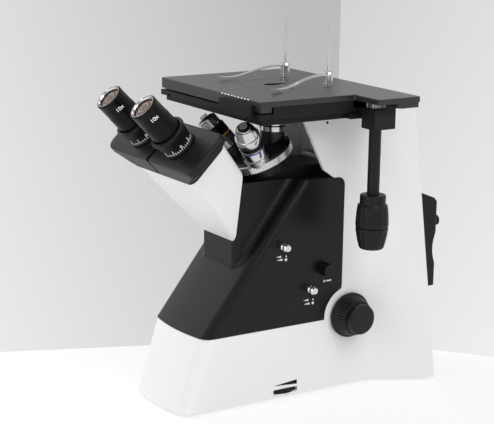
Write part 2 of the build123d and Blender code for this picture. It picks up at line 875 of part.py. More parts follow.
turret = Pos(0, 0, turret_height - turret_rim) * ribbed(turret_radius, turret_radius, turret_rim, 90, 0.7)
turret += Pos(0, 0, turret_height) * Cone(turret_radius - 2, turret_radius - 6, 3, align=low)
turret += Pos(0, 0, disc_top - turret_pivot_length) * pin(turret_pivot_radius, turret_pivot_length + 2)
turret = turret_frame * turret
station_turns = [objective_pitch * step for step in range(3)]
below = turret_frame * Pos(0, 0, disc_top + gap - 2 * turret_radius) * pin(2 * turret_radius, 2 * turret_radius)
for turn in station_turns:
    boss = station(turn) * Pos(0, 0, turret_height) * pin(boss_ring_radius, objective_shoulder - turret_height)
    turret += boss - below
for turn in station_turns:
    turret -= station(turn) * Pos(0, 0, thread_end) * pin(thread_radius, 2 * thread_length)
    turret -= (station(turn) * Pos(0, 0, turret_height / 2) * pin(light_radius, turret_height)) - below
nodes["nosepiece_turret"] = turret


def objective(steps):
    length = steps[-1][1]
    profile = [(objective_bore, -thread_length), (thread_radius - glued, -thread_length), (thread_radius - glued, 0)]
    profile += steps
    profile += [(lens_radius, length), (lens_radius, length - lens_thick), (objective_bore, length - 2 * lens_thick)]
    return turned(profile)


low_steps = [(12, 0), (12, 5), (11.2, 5), (11.2, 6), (12, 6), (12, 21), (10.2, 23), (10.2, 29), (7.5, 34), (7.5, 37), (6, 39.5)]
blue_steps = [(11.5, 0), (11.5, 9), (12, 9), (12, 24), (11.4, 28.5), (10.2, 32.5), (8.4, 36.5), (5.8, 40.8)]
amber_steps = [(12, 0), (12, 12), (11, 12), (11, 14), (11.6, 14), (11.6, 24), (10.4, 26), (10.4, 31), (8, 35), (8, 38), (6.5, 39.5)]
lenses = []
for name, turn, steps in (
    ("objective_low", station_turns[0], low_steps),
    ("objective_high", station_turns[1], blue_steps),
    ("objective_middle", station_turns[2], amber_steps),
):
    seat = station(turn) * Pos(0, 0, objective_shoulder)
    nodes[name] = seat * objective(steps)
    lens_low = steps[-1][1] - lens_thick
    lenses.append(seat * Pos(0, 0, lens_low) * pin(lens_radius - glued, lens_thick - glued))
nodes["objective_lenses"] = Compound(children=lenses)

# Stage: fixed plate on the column, middle plate that slides in Y, top plate that slides in X
window = block(-window_half, window_half, window_front, window_back, column_top - overrun, top_bottom)
fixed_half = stage_half - fixed_recess
fixed = block(-fixed_half, fixed_half, stage_front + fixed_recess, stage_back - fixed_recess, fixed_bottom, fixed_top)
fixed += block(-base_half, base_half, cheek_knee_y, stage_back - fixed_recess, column_top, fixed_bottom)
for side in (-1, 1):
    x = side * tongue_x
    fixed += block(
        x - tongue_width / 2,
        x + tongue_width / 2,
        stage_front + 2 * fixed_recess,
        stage_back - 2 * fixed_recess,
        fixed_top,
        fixed_top + tongue_height,
    )
fixed -= window
drive_rack_back = drive_rack_x - fixed_half
fixed_rack = rack(stage_rack_teeth, stage_rack_teeth, drive_rack_back + overrun, fixed_thick - 2 * gap)
fixed += Plane(origin=(drive_rack_x, drive_y, fixed_top - gap), x_dir=(0, 1, 0), z_dir=(0, 0, -1)).location * fixed_rack
nodes["stage_fixed_plate"] = fixed
middle = block(-stage_half, stage_half, stage_front, stage_back, middle_bottom, middle_top)
ear_right = drive_x + bracket_right
middle += block(stage_half - overrun, ear_right, drive_y - bracket_front, drive_y + bracket_back, middle_bottom, middle_top)
for y in (stage_front + cross_rail_inset, stage_back - cross_rail_inset - 2 * overrun):
    middle += block(
        -cross_rail_half,
        cross_rail_half,
        y - cross_rail_width / 2,
        y + cross_rail_width / 2,
        middle_top,
        top_bottom + cross_rail_key,
    )
middle -= block(-window_half, window_half, window_front, window_back, column_top, middle_top + overrun)
middle -= Pos(drive_x, drive_y, fixed_top) * pin(drive_shaft_radius + running, 2 * middle_thick)
wall_left = stage_half - side_wall_thick
middle += block(wall_left, stage_half, side_wall_front, side_wall_back, middle_top - overrun, top_bottom - gap)
vernier_right = stage_half - vernier_inset
vernier_left = vernier_right - vernier_width
vernier_front = stage_front - vernier_depth
middle += block(vernier_left, vernier_right, vernier_front, stage_front + overrun, middle_bottom, middle_top)
middle += block(vernier_left, vernier_right, vernier_front, stage_front - gap, middle_top - overrun, vernier_top)
for side in (-1, 1):
    x = side * tongue_x
    middle -= block(
        x - tongue_width / 2 - side_play,
        x + tongue_width / 2 + side_play,
        vernier_front - overrun,
        stage_back + overrun,
        middle_bottom - overrun,
        fixed_top + tongue_height + gap,
    )
nodes["stage_middle_plate"] = middle
bracket_bottom = middle_bottom - bracket_depth
bracket = block(
    bracket_left,
    ear_right,
    drive_y - bracket_front,
    drive_y + bracket_back,
    bracket_bottom,
    middle_bottom,
)
bracket -= Pos(drive_x, drive_y, bracket_bottom - overrun) * pin(drive_sleeve_radius + running, 2 * bracket_depth)
pocket_radius = drive_pitch_radius + 2 * tooth_module
pocket_low = drive_pinion_top - pinion_height - gap
bracket -= Pos(drive_x, drive_y, pocket_low) * pin(pocket_radius, bracket_depth)
nodes["drive_bracket"] = bracket
top = block(-stage_half, stage_half, stage_front, stage_back, top_bottom, stage_top)
top += block(stage_half - overrun, stage_half + tab_reach, tab_front, stage_back, top_bottom, stage_top)
top = fillet(top.edges().filter_by(Axis.Z), 2)
top = chamfer(top.faces().sort_by(Axis.Z)[-1].edges(), 0.6)
apron_left = -stage_half + overrun
top += block(apron_left, stage_half - overrun, stage_front + 0.6, stage_front + apron_thick, apron_bottom, top_bottom)
top += block(-stage_half + 0.6, -stage_half + apron_thick, stage_front + 0.6, stage_back - 2, apron_bottom, top_bottom)
top += block(stage_half - apron_thick, stage_half - 0.6, stage_front + 0.6, stage_front + apron_corner, apron_bottom, top_bottom)
tab_right = stage_half + tab_reach
tab_apron_front = drive_y + drive_pitch_radius + rack_back - overrun
top += block(tab_right - apron_corner / 2, tab_right - 0.6, tab_apron_front, stage_back - 2, apron_bottom, top_bottom)
for y in (stage_front + cross_rail_inset, stage_back - cross_rail_inset - 2 * overrun):
    top -= block(
        -cross_rail_half - stage_travel - overrun,
        cross_rail_half + stage_travel + overrun,
        y - cross_rail_width / 2 - side_play,
        y + cross_rail_width / 2 + side_play,
        top_bottom - overrun,
        top_bottom + cross_rail_key + gap,
    )
cross_rack = rack(stage_rack_teeth, stage_rack_teeth, rack_back, pinion_height)
cross_rack_y = drive_y + drive_pitch_radius
top += Plane(origin=(drive_x, cross_rack_y, top_bottom), x_dir=(1, 0, 0), z_dir=(0, 0, -1)).location * cross_rack
top -= Pos(0, 0, insert_bottom) * pin(insert_radius + glued, 2 * insert_thick)
top -= Pos(0, 0, top_bottom - overrun) * pin(insert_radius - insert_ledge, 2 * top_thick)
for side in (-1, 1):
    top -= Pos(side * clip_x, clip_y, top_bottom - overrun) * pin(clip_post_radius + glued, 2 * top_thick)
nodes["stage_top_plate"] = top
keyhole_far = keyhole_front + keyhole_length
keyhole = make_hull(
    (Pos(0, keyhole_front) * Circle(keyhole_big)).edges() + (Pos(0, keyhole_far) * Circle(keyhole_small)).edges()
)
insert = Pos(0, 0, insert_bottom) * pin(insert_radius, insert_thick)
insert -= Pos(0, 0, insert_bottom - overrun) * extrude(keyhole, amount=2 * insert_thick)
for side in (-1, 1):
    insert -= Pos(side * insert_radius, 0, insert_bottom - overrun) * pin(2.0, 2 * insert_thick)
nodes["stage_insert"] = insert

# Coaxial stage drive
sleeve_bottom = upper_knob_bottom + upper_knob_height / 3
sleeve = Pos(0, 0, sleeve_bottom) * pin(drive_sleeve_radius, drive_pinion_top - sleeve_bottom)
sleeve += Pos(0, 0, drive_pinion_top - pinion_height) * pinion(drive_teeth, pinion_height)
sleeve -= Pos(0, 0, sleeve_bottom - overrun) * pin(drive_shaft_radius + running, column_top)
nodes["y_drive_sleeve"] = Pos(drive_x, drive_y, 0) * sleeve
upper = Pos(0, 0, upper_knob_top) * pin(drive_collar_radius, drive_collar_height)
upper += Pos(0, 0, upper_knob_bottom) * ribbed(
    upper_knob_radius, upper_knob_top_radius, upper_knob_height, 18, flute_depth
)
upper -= Pos(0, 0, sleeve_bottom) * pin(drive_sleeve_radius + glued, column_top)
upper -= Pos(0, 0, upper_knob_bottom - overrun) * pin(drive_shaft_radius + running, upper_knob_height)
nodes["y_drive_knob"] = Pos(drive_x, drive_y, 0) * upper
shaft_bottom = lower_knob_bottom + lower_knob_height / 3
shaft = Pos(0, 0, shaft_bottom) * pin(drive_shaft_radius, cross_pinion_bottom - shaft_bottom + overrun)
shaft += Pos(0, 0, cross_pinion_bottom) * pinion(drive_teeth, pinion_height)
nodes["x_drive_shaft"] = Pos(drive_x, drive_y, 0) * shaft
lower = Pos(0, 0, lower_knob_bottom) * ribbed(
    lower_knob_tip_radius, lower_knob_radius, lower_knob_height, 18, flute_depth
)
lower -= Pos(0, 0, shaft_bottom) * pin(drive_shaft_radius + glued, column_top)
nodes["x_drive_knob"] = Pos(drive_x, drive_y, 0) * lower

# Specimen clips: posts, sliding collars and spring arms
posts = []
for side in (-1, 1):
    posts.append(Pos(side * clip_x, clip_y, top_bottom) * pin(clip_post_radius, clip_post_top - top_bottom))
nodes["clip_posts"] = Compound(children=posts)
bore = clip_post_radius + running
collar_top = clip_collar_height + clip_neck_height
collar = turned(
    [
        (bore, 0),
        (clip_collar_radius, 0),
        (clip_collar_radius, clip_collar_height / 3),
        (clip_collar_radius - 0.6, clip_collar_height / 3),
        (clip_collar_radius - 0.6, clip_collar_height / 2),
        (clip_collar_radius, clip_collar_height / 2),
        (clip_collar_radius, clip_collar_height),
        (clip_neck_radius, clip_collar_height),
        (clip_neck_radius, collar_top),
        (clip_cap_radius, collar_top),
        (clip_cap_radius - 0.8, collar_top + clip_cap_height),
        (bore, collar_top + clip_cap_height),
    ]
)
eye_height = clip_neck_height - 2 * gap
arm_eye = pin(clip_cap_radius, eye_height) - pin(clip_neck_radius + running, eye_height)
arm_drop = clip_collar_height + gap
upper_line = [
    (clip_neck_radius + overrun, 0, eye_height),
    (clip_arm_reach * 0.22, 0, eye_height),
    (clip_arm_reach * 0.5, 0, eye_height - arm_drop * 0.45),
    (clip_arm_reach * 0.82, 0, eye_height - arm_drop * 0.98),
    (clip_arm_reach, 0, eye_height - arm_drop * 0.86),
]
lower_line = [(x, 0, z - clip_arm_thick) for x, y, z in upper_line]
arm_outline = Spline(*upper_line) + Line(upper_line[-1], lower_line[-1]) + Spline(*lower_line)
arm_face = make_face(arm_outline + Line(lower_line[0], upper_line[0]))
arm_strip = extrude(arm_face, amount=clip_arm_width / 2, dir=(0, 1, 0), both=True)
arm_part = arm_strip + arm_eye
collar_low = stage_top + gap
for name, side, turn in (("right", 1, -90 + clip_arm_turn), ("left", -1, -90 - clip_arm_turn)):
    place = Pos(side * clip_x, clip_y, collar_low)
    nodes["clip_collar_" + name] = place * collar
    nodes["clip_arm_" + name] = place * Pos(0, 0, clip_collar_height + gap) * Rot(0, 0, turn) * arm_part

# Illuminator cell with beam splitter and mirror, tube lens in the neck
cell = block(-cell_half, cell_half, cell_front, cell_back, cell_bottom, cell_top)
cell_inner = cell_half - cell_wall
cell -= block(
    -cell_inner,
    cell_inner,
    cell_front + cell_wall,
    cell_back - cell_wall,
    cell_bottom + cell_wall,
    cell_top - cell_wall,
)
tube_end = rear_at(light_z + tube_radius) - rear_wall
cell += along_y(pin(tube_radius, tube_end - cell_back), 0, cell_back, light_z)
cell -= along_y(pin(tube_bore, tube_end), 0, cell_back - 2 * cell_wall, light_z)
cell -= Pos(0, 0, light_z) * pin(light_radius, cell_top)
cell -= head_frame * Pos(0, head_v, head_v) * pin(light_radius + 2, neck_top_u)
nodes["illuminator_cell"] = cell
splitter = Box(2 * (cell_inner - gap), 2 * splitter_half_y, 2 * splitter_half_z)
nodes["beam_splitter"] = Pos(0, 0, light_z) * splitter
fold_z = head_v * root
plate = Box(2 * (cell_inner - gap), mirror_length, mirror_thick, align=(Align.CENTER, Align.CENTER, Align.MAX))
nodes["fold_mirror"] = Pos(0, 0, fold_z) * Rot(mirror_tilt, 0, 0) * plate
lens_tube = pin(neck_bore - glued, tube_lens_height) - pin(neck_bore - 3, tube_lens_height)
glass = Pos(0, 0, tube_lens_height / 3) * pin(neck_bore - 3, tube_lens_glass)
nodes["tube_lens"] = head_frame * Pos(0, head_v, tube_lens_u) * (lens_tube + glass)
nodes["collector_lens"] = along_y(pin(tube_bore - glued, collector_thick), 0, lens_cell_y - collector_thick, light_z)

# Lamp house with socket, lamp and thumbscrew
top_front_z = lamp_top_z + lamp_top_slope * (lamp_top_y - rear_at(lamp_top_z + 17))
lamp_edges = Polyline(
    (-lamp_half, lamp_back, grip_high),
    (-lamp_half, lamp_back, lamp_shoulder_z),
    (-lamp_half, lamp_top_y, lamp_top_z),
    (-lamp_half, rear_at(top_front_z), top_front_z),
    (-lamp_half, rear_at(lamp_bottom), lamp_bottom),
    (-lamp_half, lamp_back, lamp_bottom),
    (-lamp_half, lamp_back, grip_low),
)
grip = ThreePointArc(
    (-lamp_half, lamp_back, grip_low),
    (-lamp_half, lamp_back - grip_depth, (grip_low + grip_high) / 2),
    (-lamp_half, lamp_back, grip_high),
)
lamp = extrude(make_face(lamp_edges + grip), amount=2 * lamp_half, dir=(1, 0, 0))
lamp = fillet(lamp.edges().filter_by(Axis.Z), 3)
lamp_room = lamp_back - grip_depth - lamp_wall
lamp_hollow = [
    (rear_at(column_top), lamp_bottom + lamp_wall),
    (lamp_room, lamp_bottom + lamp_wall),
    (lamp_room, lamp_shoulder_z - 2 * lamp_wall),
    (rear_at(column_top), top_front_z - 2 * lamp_wall),
]
lamp -= side_prism(lamp_hollow, lamp_half - lamp_wall)
thumb_hole = pin(thumb_shank_radius + running, 4 * lamp_wall + grip_depth)
lamp -= along_y(thumb_hole, thumb_x, lamp_back - 2 * lamp_wall - grip_depth, thumb_z)
nodes["lamp_house"] = lamp
bulb_low = light_z - bulb_length / 2
socket = pin(socket_radius, bulb_low - lamp_bottom - lamp_wall)
nodes["lamp_socket"] = Pos(0, socket_y, lamp_bottom + lamp_wall) * socket
bulb = pin(bulb_radius, bulb_length - bulb_radius) + Pos(0, 0, bulb_length - bulb_radius) * Sphere(bulb_radius)
nodes["halogen_bulb"] = Pos(0, socket_y, bulb_low) * bulb
thumb = Pos(0, 0, gap) * ribbed(thumb_radius, thumb_radius, thumb_length, 16, 0.6)
thumb += Pos(0, 0, -lamp_wall - grip_depth) * pin(thumb_shank_radius, lamp_wall + grip_depth + overrun)
nodes["lamp_thumbscrew"] = along_y(thumb, thumb_x, lamp_back, thumb_z)

# Push rods, filter knob, brightness wheel
rod = turned(
    [
        (0, -rod_inside),
        (rod_radius, -rod_inside),
        (rod_radius, rod_head_length * 0.25),
        (rod_ball_radius * 0.8, rod_head_length * 0.28),
        (rod_ball_radius * 0.9, rod_head_length * 0.4),
        (rod_waist_radius, rod_head_length * 0.5),
        (rod_ball_radius, rod_head_length * 0.66),
        (rod_ball_radius, rod_head_length * 0.84),
        (rod_waist_radius, rod_head_length),
        (0, rod_head_length),
    ]
)
nodes["aperture_rod"] = along_x(rod, base_half, aperture_y, aperture_z)
nodes["field_rod"] = along_x(rod, base_half, field_y, field_z)
filter_knob = Pos(0, 0, gap) * ribbed(filter_knob_radius, filter_knob_radius, filter_knob_length, 20, 0.5)
filter_knob += Pos(0, 0, -filter_inside) * pin(filter_shaft_radius, filter_inside + overrun)
nodes["filter_knob"] = along_x(filter_knob, base_half, filter_y, filter_z)
wheel = ribbed(wheel_radius, wheel_radius, wheel_thick, 48, 0.6)
wheel += pin(wheel_axle_radius, wheel_thick + pot_height)
nodes["brightness_wheel"] = Pos(wheel_x, wheel_y, wheel_bottom) * wheel
pot_bottom = wheel_bottom + wheel_thick + gap
pot_top = pot_bottom + pot_height
pot = Pos(wheel_x, wheel_y, pot_bottom) * pin(pot_radius, pot_height)
pot += block(wheel_x - pot_reach, wheel_x, wheel_y - pot_radius / 2, wheel_y + pot_radius / 2, pot_bottom, pot_top)
post_right = wheel_x - wheel_radius - overrun
pot += block(
    wheel_x - pot_reach,
    post_right,
    wheel_y - pot_radius / 2,
    wheel_y + pot_radius / 2,
    base_bottom + plate_thick,
    pot_top,
)
pot -= Pos(wheel_x, wheel_y, pot_bottom - overrun) * pin(wheel_axle_radius + running, 2 * pot_height)
nodes["potentiometer"] = pot

# Power supply, mains inlet and switch
supply_low = base_bottom + plate_thick
supply_back = supply_front + supply_length
nodes["power_supply"] = block(
    -supply_half, supply_half, supply_front, supply_back, supply_low, supply_low + supply_height
)
inlet = Box(2 * inlet_half_width, 2 * inlet_half_height, inlet_depth, align=(Align.CENTER, Align.CENTER, Align.MAX))
rim = Box(
    2 * (inlet_half_width + inlet_flange),
    2 * (inlet_half_height + inlet_flange),
    inlet_flange / 2,
    align=low,
)
cavity = Box(1.6 * inlet_half_width, 1.4 * inlet_half_height, inlet_depth)
inlet = inlet + rim - cavity
contacts = []
for x, y in ((-5.5, -2), (0, 2), (5.5, -2)):
    contacts.append(Pos(x, y, -inlet_depth / 2) * Box(1.4, 4, inlet_depth / 2, align=low))
for contact in contacts:
    inlet += contact
nodes["mains_inlet"] = rear_frame * Pos(-inlet_x, inlet_up, 0) * inlet
rocker = Box(2 * switch_half_width, 2 * switch_half_height, switch_depth, align=(Align.CENTER, Align.CENTER, Align.MAX))
swell = extrude(
    Plane.YZ
    * make_face(
        Polyline((-switch_half_height, 0), (switch_half_height, 0), (switch_half_height, switch_swell), (0, 0.4), close=True)
    ),
    amount=switch_half_width,
    both=True,
)
stub_half = switch_half_width + switch_pivot_show
stubs = along_x(pin(switch_pivot_radius, 2 * stub_half), -stub_half, 0, -switch_pivot_depth)
nodes["rocker_switch"] = rear_frame * Pos(-switch_x, inlet_up, 0) * (rocker + swell + stubs)

os.makedirs("parts", exist_ok=True)
for name, shape in nodes.items():
    export_step(shape, "parts/" + name + ".step")
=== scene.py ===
import bpy
import json
import math
from mathutils import Matrix, Vector


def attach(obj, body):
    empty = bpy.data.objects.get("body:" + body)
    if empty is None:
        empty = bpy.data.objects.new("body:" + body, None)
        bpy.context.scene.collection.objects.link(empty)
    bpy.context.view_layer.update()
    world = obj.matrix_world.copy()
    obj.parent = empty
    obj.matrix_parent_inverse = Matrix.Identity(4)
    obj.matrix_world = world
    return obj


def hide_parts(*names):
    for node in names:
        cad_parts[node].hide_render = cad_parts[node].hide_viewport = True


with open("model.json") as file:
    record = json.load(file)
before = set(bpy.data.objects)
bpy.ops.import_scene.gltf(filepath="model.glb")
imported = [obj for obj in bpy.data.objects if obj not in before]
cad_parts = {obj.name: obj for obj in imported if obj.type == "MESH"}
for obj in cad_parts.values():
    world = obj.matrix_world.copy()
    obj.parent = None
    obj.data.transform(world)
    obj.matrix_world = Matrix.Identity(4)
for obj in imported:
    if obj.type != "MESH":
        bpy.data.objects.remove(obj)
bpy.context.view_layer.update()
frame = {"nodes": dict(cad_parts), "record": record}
nodes = frame["nodes"]
scene = bpy.context.scene
scene.view_settings.view_transform = "Standard"
print("frame loaded:", len(nodes), "nodes")

# camera at the photograph's place
camera = {
    "eye": (1.20080, -0.80320, 0.51235),
    "right": (0.53877, 0.84230, 0.01562),
    "up": (-0.19968, 0.10966, 0.97368),
    "back": (0.81844, -0.52772, 0.22728),
    "lens": 110.2,
    "sensor": 36.0,
    "farthest": 30.0,
}
eyeData = bpy.data.cameras.new("viewCamera")
eyeData.lens = camera["lens"]
eyeData.sensor_width = camera["sensor"]
eyeData.sensor_fit = "HORIZONTAL"
eyeData.clip_end = camera["farthest"]
viewCamera = bpy.data.objects.new("viewCamera", eyeData)
scene.collection.objects.link(viewCamera)
facing = Matrix((camera["right"], camera["up"], camera["back"])).transposed().to_4x4()
viewCamera.matrix_world = Matrix.Translation(camera["eye"]) @ facing
scene.camera = viewCamera


# shader maths: a socket with the usual operators
class Wire:
    def __init__(self, tree, socket):
        self.tree = tree
        self.socket = socket

    def math(self, kind, first, second=0.0):
        node = self.tree.nodes.new("ShaderNodeMath")
        node.operation = kind
        for place, value in enumerate((first, second)):
            if isinstance(value, Wire):
                self.tree.links.new(value.socket, node.inputs[place])
            else:
                node.inputs[place].default_value = value
        return Wire(self.tree, node.outputs[0])

    def __add__(self, other):
        return self.math("ADD", self, other)

    __radd__ = __add__

    def __sub__(self, other):
        return self.math("SUBTRACT", self, other)

    def __mul__(self, other):
        return self.math("MULTIPLY", self, other)

    __rmul__ = __mul__

    def __truediv__(self, other):
        return self.math("DIVIDE", self, other)

    def __gt__(self, other):
        return self.math("GREATER_THAN", self, other)

    def __lt__(self, other):
        return self.math("LESS_THAN", self, other)

    def root(self):
        return self.math("SQRT", self)

    def part(self):
        return self.math("FRACT", self)

    def angle(self, across):
        return self.math("ARCTAN2", self, across)


# a finish: its tree, its main shader and one way to add a node
class Finish:
    def __init__(self, name):
        self.material = bpy.data.materials.new(name)
        self.material.use_nodes = True
        self.tree = self.material.node_tree
        self.shader = self.tree.nodes["Principled BSDF"]

    def join(self, value, place):
        if isinstance(value, Wire):
            self.tree.links.new(value.socket, place)
        else:
            place.default_value = value

    # a socket goes by its name, or by its number with an i before it
    def node(self, kind, settings=None, **sockets):
        made = self.tree.nodes.new("ShaderNode" + kind)
        for key, value in (settings or {}).items():
            setattr(made, key, value)
        for key, value in sockets.items():
            numbered = key[0] == "i" and key[1:].isdigit()
            self.join(value, made.inputs[int(key[1:]) if numbered else key.replace("_", " ")])
        return made

    def wire(self, made, output=0):
        return Wire(self.tree, made.outputs[output])

    def coords(self):
        return self.wire(self.node("TexCoord"), "Object")

    def axes(self):
        made = self.node("SeparateXYZ", None, Vector=self.coords())
        return self.wire(made, 0), self.wire(made, 1), self.wire(made, 2)

    def noise(self, scale, detail):
        made = self.node("TexNoise", None, Vector=self.coords(), Scale=scale, Detail=detail)
        return self.wire(made, 0)

    def set(self, **sockets):
        for key, value in sockets.items():
            self.join(value, self.shader.inputs[key.replace("_", " ")])
        return self

    def mixColour(self, factor, first, second):
        made = self.node("Mix", {"data_type": "RGBA"}, i0=factor, i6=first, i7=second)
        return self.wire(made, 2)

    def bump(self, height, strength, distance):
        made = self.node("Bump", None, Height=height, Strength=strength, Distance=distance)
        self.set(Normal=self.wire(made))
        return self


def rgb(red, green, blue):
    return (red, green, blue, 1.0)


# octaves of the noise patterns, and the height in metres of a bump at full strength
noiseDetail = {"coarse": 2.0, "fine": 3.0}
bumpHeight = {"enamel": 0.0004, "metal": 0.0002}


# enamel over a casting: faint orange peel, a little colour drift, and painted marks where asked for
def enamel(name, look, marks=None):
    finish = Finish(name)
    drift = finish.noise(look["driftScale"], noiseDetail["coarse"])
    colour = finish.mixColour(drift, look["colour"], look["shade"])
    if marks:
        colour = finish.mixColour(marks(finish), colour, markPaint)
    peel = finish.noise(look["peelScale"], noiseDetail["coarse"])
    finish.set(Base_Color=colour, Roughness=look["rough"] + look["roughDrift"] * peel)
    finish.set(Specular_IOR_Level=look["specular"])
    finish.set(Coat_Weight=look["coat"], Coat_Roughness=look["coatRough"])
    finish.bump(peel, look["peel"], bumpHeight["enamel"])
    return finish.material


markPaint = rgb(0.78, 0.78, 0.76)
whiteLook = {
    "colour": rgb(0.83, 0.84, 0.838), "shade": rgb(0.80, 0.81, 0.806), "driftScale": 9.0, "specular": 0.4,
    "peelScale": 900.0, "peel": 0.03, "rough": 0.40, "roughDrift": 0.08, "coat": 0.12, "coatRough": 0.25,
}
glossLook = {
    "colour": rgb(0.004, 0.004, 0.004), "shade": rgb(0.006, 0.006, 0.006), "driftScale": 14.0, "specular": 0.24,
    "peelScale": 1400.0, "peel": 0.05, "rough": 0.30, "roughDrift": 0.06, "coat": 0.0, "coatRough": 0.2,
}
satinLook = {
    "colour": rgb(0.008, 0.008, 0.008), "shade": rgb(0.013, 0.013, 0.013), "driftScale": 20.0, "specular": 0.22,
    "peelScale": 2600.0, "peel": 0.10, "rough": 0.34, "roughDrift": 0.10, "coat": 0.0, "coatRough": 0.3,
}
knobLook = {
    "colour": rgb(0.006, 0.006, 0.007), "shade": rgb(0.011, 0.011, 0.012), "driftScale": 40.0, "specular": 0.22,
    "peelScale": 3200.0, "peel": 0.08, "rough": 0.38, "roughDrift": 0.10, "coat": 0.0, "coatRough": 0.3,
}
stageLook = {
    "colour": rgb(0.016, 0.0155, 0.0155), "shade": rgb(0.022, 0.021, 0.021),
    "driftScale": 16.0, "specular": 0.5,
    "peelScale": 3000.0, "peel": 0.05, "rough": 0.26, "roughDrift": 0.08, "coat": 0.0, "coatRough": 0.3,
}
darkLook = {
    "colour": rgb(0.006, 0.006, 0.006), "shade": rgb(0.010, 0.010, 0.010), "driftScale": 18.0, "specular": 0.2,
    "peelScale": 3000.0, "peel": 0.10, "rough": 0.45, "roughDrift": 0.12, "coat": 0.0, "coatRough": 0.3,
}
barrelBlackLook = {
    "colour": rgb(0.003, 0.003, 0.003), "shade": rgb(0.005, 0.005, 0.005), "driftScale": 60.0, "specular": 0.14,
    "peelScale": 2500.0, "peel": 0.03, "rough": 0.26, "roughDrift": 0.06, "coat": 0.0, "coatRough": 0.2,
}
focusGripLook = {
    "colour": rgb(0.007, 0.007, 0.008), "shade": rgb(0.012, 0.012, 0.013), "driftScale": 50.0, "specular": 0.24,
    "peelScale": 3200.0, "peel": 0.06, "rough": 0.30, "roughDrift": 0.10, "coat": 0.0, "coatRough": 0.3,
}
halfRoot = math.sqrt(0.5)
eyeApart = {"right": 0.0325, "left": -0.0325}
eyeDeep = 0.095
dioptreScale = {"low": 0.2727, "high": 0.2747, "ticks": 40.0, "share": 0.34}
stageScale = {"front": -0.0733, "high": 0.3012, "from": 0.0208, "to": 0.0710, "step": 0.0056, "share": 0.5}


# short white ticks round the foot of a dioptre ring
def dioptreMarks(side):
    def marks(finish):
        x, y, z = finish.axes()
        along = (z - y) * halfRoot
        deep = (y + z) * halfRoot - eyeDeep
        turn = deep.angle(x - eyeApart[side]) / (2 * math.pi)
        comb = (turn * dioptreScale["ticks"]).part() < dioptreScale["share"]
        return comb * (along > dioptreScale["low"]) * (along < dioptreScale["high"])
    return marks


# dashes along the stage plate's front edge
def stageMarks(finish):
    x, y, z = finish.axes()
    comb = (x / stageScale["step"]).part() < stageScale["share"]
    edge = (y < stageScale["front"]) * (z > stageScale["high"])
    return comb * edge * (x > stageScale["from"]) * (x < stageScale["to"])


# metal with fine turning or grinding marks
def metal(name, look):
    finish = Finish(name)
    grain = finish.noise(look["grainScale"], noiseDetail["fine"])
    colour = finish.mixColour(grain, look["colour"], look["shade"])
    finish.set(Base_Color=colour, Metallic=look["metallic"])
    finish.set(Roughness=look["rough"] + look["roughDrift"] * grain)
    finish.bump(grain, look["mark"], bumpHeight["metal"])
    return finish.material


chromeLook = {
    "colour": rgb(0.72, 0.72, 0.73), "shade": rgb(0.64, 0.64, 0.65), "grainScale": 500.0,
    "rough": 0.12, "roughDrift": 0.08, "mark": 0.03, "metallic": 1.0,
}
barrelLook = {
    "colour": rgb(0.66, 0.66, 0.67), "shade": rgb(0.58, 0.58, 0.59), "grainScale": 900.0,
    "rough": 0.14, "roughDrift": 0.08, "mark": 0.03, "metallic": 1.0,
}
steelLook = {
    "colour": rgb(0.46, 0.46, 0.47), "shade": rgb(0.38, 0.38, 0.39), "grainScale": 700.0,
    "rough": 0.3, "roughDrift": 0.15, "mark": 0.06, "metallic": 1.0,
}
brassLook = {
    "colour": rgb(0.60, 0.42, 0.16), "shade": rgb(0.50, 0.34, 0.12), "grainScale": 700.0,
    "rough": 0.3, "roughDrift": 0.12, "mark": 0.05, "metallic": 1.0,
}
blueLook = {
    "colour": rgb(0.02, 0.08, 0.62), "shade": rgb(0.03, 0.10, 0.70), "grainScale": 900.0,
    "rough": 0.35, "roughDrift": 0.1, "mark": 0.02, "metallic": 0.0,
}
orangeLook = {
    "colour": rgb(0.75, 0.26, 0.01), "shade": rgb(0.80, 0.30, 0.02), "grainScale": 900.0,
    "rough": 0.35, "roughDrift": 0.1, "mark": 0.02, "metallic": 0.0,
}
paintLook = {
    "colour": rgb(0.80, 0.80, 0.79), "shade": rgb(0.74, 0.74, 0.73), "grainScale": 900.0,
    "rough": 0.5, "roughDrift": 0.1, "mark": 0.02, "metallic": 0.0,
}
turretLook = {
    "apex": 0.192, "tilt": math.radians(24), "rim": 0.0322, "grainScale": 700.0, "roughDrift": 0.06,
    "plate": rgb(0.010, 0.010, 0.010), "ring": rgb(0.64, 0.64, 0.65), "plateRough": 0.36, "ringRough": 0.22,
}


# the turret's milled rim is bright metal and the rest is black
def turretFinish(name, look):
    finish = Finish(name)
    x, y, z = finish.axes()
    across = y * math.cos(look["tilt"]) + (z - look["apex"]) * math.sin(look["tilt"])
    rim = (x * x + across * across).root() > look["rim"]
    grain = finish.noise(look["grainScale"], noiseDetail["coarse"])
    finish.set(Base_Color=finish.mixColour(rim, look["plate"], look["ring"]), Metallic=rim)
    step = look["ringRough"] - look["plateRough"]
    finish.set(Roughness=look["plateRough"] + step * rim + look["roughDrift"] * grain)
    return finish.material


# glass with a thin coat and a faint haze
def coatedGlass(name, look):
    finish = Finish(name)
    haze = finish.noise(look["haze"], noiseDetail["coarse"])
    colour = finish.mixColour(haze, look["colour"], look["shade"])
    finish.set(Base_Color=colour, Roughness=look["rough"] + glassCoat["roughDrift"] * haze)
    finish.set(Transmission_Weight=look["clear"])
    finish.set(Coat_Weight=glassCoat["weight"], Coat_Roughness=glassCoat["rough"])
    return finish.material


